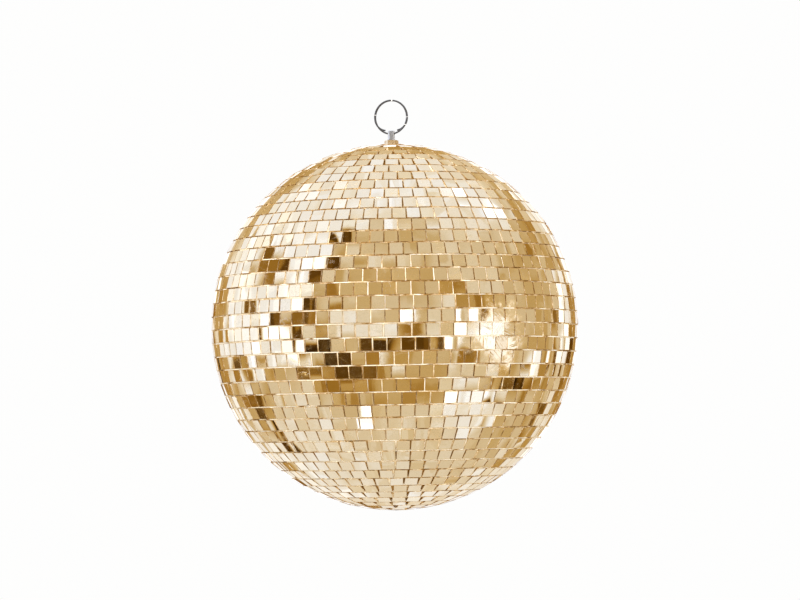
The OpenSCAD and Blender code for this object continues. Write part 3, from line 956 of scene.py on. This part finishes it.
def build_world():
    """The room for reflections, a soft glow for light and a pale backdrop for the camera."""
    net = Net(bpy.data.worlds.new("studio"))
    # turned so that -Y points at the camera's place
    toward = net.mapping(net.value("ShaderNodeTexCoord", output="Generated"),
                         turn=(0, 0, -CAM_AZ))
    x, y, z = net.xyz(toward)
    azimuth = net.math("ARCTAN2", x, y * -1.0)
    elevation = net.math("ARCSINE", z)
    wobble_az, wobble_el, _ = net.xyz(net.noise(toward, scale=2.6, detail=3.0, rough=0.55,
                                                color=True))
    room_az = (wobble_az - 0.5).times_plus(0.05, azimuth * ROOM_SCALE)
    room_el = (wobble_el - 0.5).times_plus(0.03, elevation * ROOM_SCALE)
    tone = net.ramp(net.math("SINE", room_el).times_plus(0.5, 0.5), HEIGHT_TONES)
    for az, el, half_az, half_el, level, soft in ROOM:
        az, el, half_az, half_el, soft = map(math.radians, (az, el, half_az, half_el, soft))
        off_az = net.math("WRAP", room_az - az, math.pi, -math.pi)
        cover = inside(off_az, half_az, soft) * inside(room_el - el, half_el, soft)
        tone = net.mix_value(cover, tone, level)
    # small things behind the ball: panes, frames, people
    cells = net.value("ShaderNodeTexVoronoi",
                      {"Vector": net.combine(room_az * 1.0, room_el * 1.3, 0.0),
                       "Scale": 6.5, "Smoothness": 0.16},
                      "Color", feature="SMOOTH_F1", distance="CHEBYCHEV")
    pick_dark, pick_light, shade = net.xyz(cells)
    band = (elevation.remap((-0.66, -0.38), smooth=True)
            * elevation.remap((0.50, 0.80), to=(1, 0), smooth=True))
    band = band * abs(azimuth).remap((1.9, 2.05))
    tone = tone + shade.times_plus(0.18, -0.09)
    dark = band * pick_dark.remap((0.88, 0.92))
    light = band * pick_light.remap((0.91, 0.95))
    tone = net.mix_value(light * 0.9, tone, 1.0)
    tone = net.mix_value(dark * 0.9, tone, shade.times_plus(0.20, 0.0))
    room = net.background(net.ramp(tone, room_stops()),
                          strength=tone.remap((0.97, 1.08), to=(2.0, 3.2)))
    glow = net.background(net.ramp(z.times_plus(0.5, 0.5), SOFT_STOPS), strength=1.05)
    backdrop = net.background(PALE, strength=1.0)
    rays = net.node("ShaderNodeLightPath").outputs
    lit = net.mix_shader(Value(net, rays["Is Glossy Ray"]), glow, room)
    return net.finish(net.mix_shader(Value(net, rays["Is Camera Ray"]), lit, backdrop))


scene.world = build_world()

# ------------------------------------------------------------------ floor, lights and camera

FLOOR_SEGMENTS = 96
FLOOR_RINGS = (0.3, 0.6, 1.0, 1.6, 2.6, 5.0, 12.0, 40.0, 120.0)
FLOOR_BOUNCE = (0.55, 0.47, 0.34, 1)        # colour of the floor for all but the camera


def pale_floor():
    """Matt near the ball, melting into the backdrop farther out."""
    net = new_material("pale_floor")
    x, y, _ = net.xyz(net.position())
    far = net.math("SQRT", x * x + y * y).remap((0.7, 2.6), smooth=True)
    seen = net.value("ShaderNodeLightPath", output="Is Camera Ray")
    grain = net.noise(net.position(), scale=40.0, detail=3.0, rough=0.5)
    pale = net.mix(grain, (0.93, 0.925, 0.91, 1), (0.95, 0.945, 0.935, 1))
    matt = net.principled(Base_Color=net.mix(seen, FLOOR_BOUNCE, pale), Roughness=0.9)
    glow = net.value("ShaderNodeEmission", {0: net.mix(seen, FLOOR_BOUNCE, PALE)})
    return net.finish(net.mix_shader(far, matt, glow))


def build_floor():
    verts, faces = [(0, 0, FLOOR_Z)], []
    count = FLOOR_SEGMENTS
    angles = [2 * math.pi * i / count for i in range(count)]
    for radius in FLOOR_RINGS:
        verts += [(radius * math.cos(a), radius * math.sin(a), FLOOR_Z) for a in angles]
    for i in range(count):
        faces.append((0, 1 + i, 1 + (i + 1) % count))
    for k in range(len(FLOOR_RINGS) - 1):
        near, far = 1 + k * count, 1 + (k + 1) * count
        for i in range(count):
            j = (i + 1) % count
            faces.append((near + i, far + i, far + j, near + j))
    mesh = bpy.data.meshes.new("studio_floor")
    mesh.from_pydata(verts, [], faces)
    ground = new_object("studio_floor", mesh)
    mesh.materials.append(pale_floor())
    ground.visible_glossy = False


def place_round(azimuth, elevation, distance):
    """A point seen from the ball; azimuth runs from -Y towards +X, in radians."""
    return Vector((distance * math.sin(azimuth) * math.cos(elevation),
                   -distance * math.cos(azimuth) * math.cos(elevation),
                   distance * math.sin(elevation)))


def aim(location):
    """The turn that points a light or camera at the ball's middle."""
    return (-location).to_track_quat("-Z", "Y")


def add_light(name, azimuth, elevation, distance, size, power, color=(1, 1, 1)):
    """A disc light aimed at the ball and hidden from the mirrors; angles in degrees."""
    light = bpy.data.lights.new(name, "AREA")
    light.shape = "DISK"
    light.size = size
    light.energy = power
    light.color = color
    lamp = new_object(name, light)
    lamp.location = place_round(math.radians(azimuth), math.radians(elevation), distance)
    lamp.rotation_euler = aim(lamp.location).to_euler()
    lamp.visible_glossy = False


def add_camera():
    cam = bpy.data.cameras.new("camera")
    holder = new_object("camera", cam)
    holder.location = place_round(CAM_AZ, CAM_EL, CAM_DIST)
    holder.rotation_mode = "QUATERNION"
    holder.rotation_quaternion = aim(holder.location) @ Quaternion((0, 0, 1), -CAM_ROLL)
    cam.sensor_width = SENSOR_WIDTH
    cam.lens = BALL_ON_SENSOR / math.tan(math.asin(BALL_RADIUS / CAM_DIST))
    cam.shift_x, cam.shift_y = CAM_SHIFT
    cam.clip_end = 400.0
    scene.camera = holder


build_floor()
add_light("key", azimuth=-25, elevation=42, distance=2.2, size=1.2, power=24,
          color=(1.0, 0.98, 0.95))
add_light("front", azimuth=18, elevation=4, distance=3.4, size=0.7, power=34,
          color=(1.0, 0.97, 0.92))
add_light("fill", azimuth=60, elevation=15, distance=2.4, size=1.6, power=12)
add_light("back", azimuth=190, elevation=50, distance=2.4, size=1.2, power=14)
add_camera()
scene.view_settings.view_transform = "Standard"
scene.view_settings.look = "None"
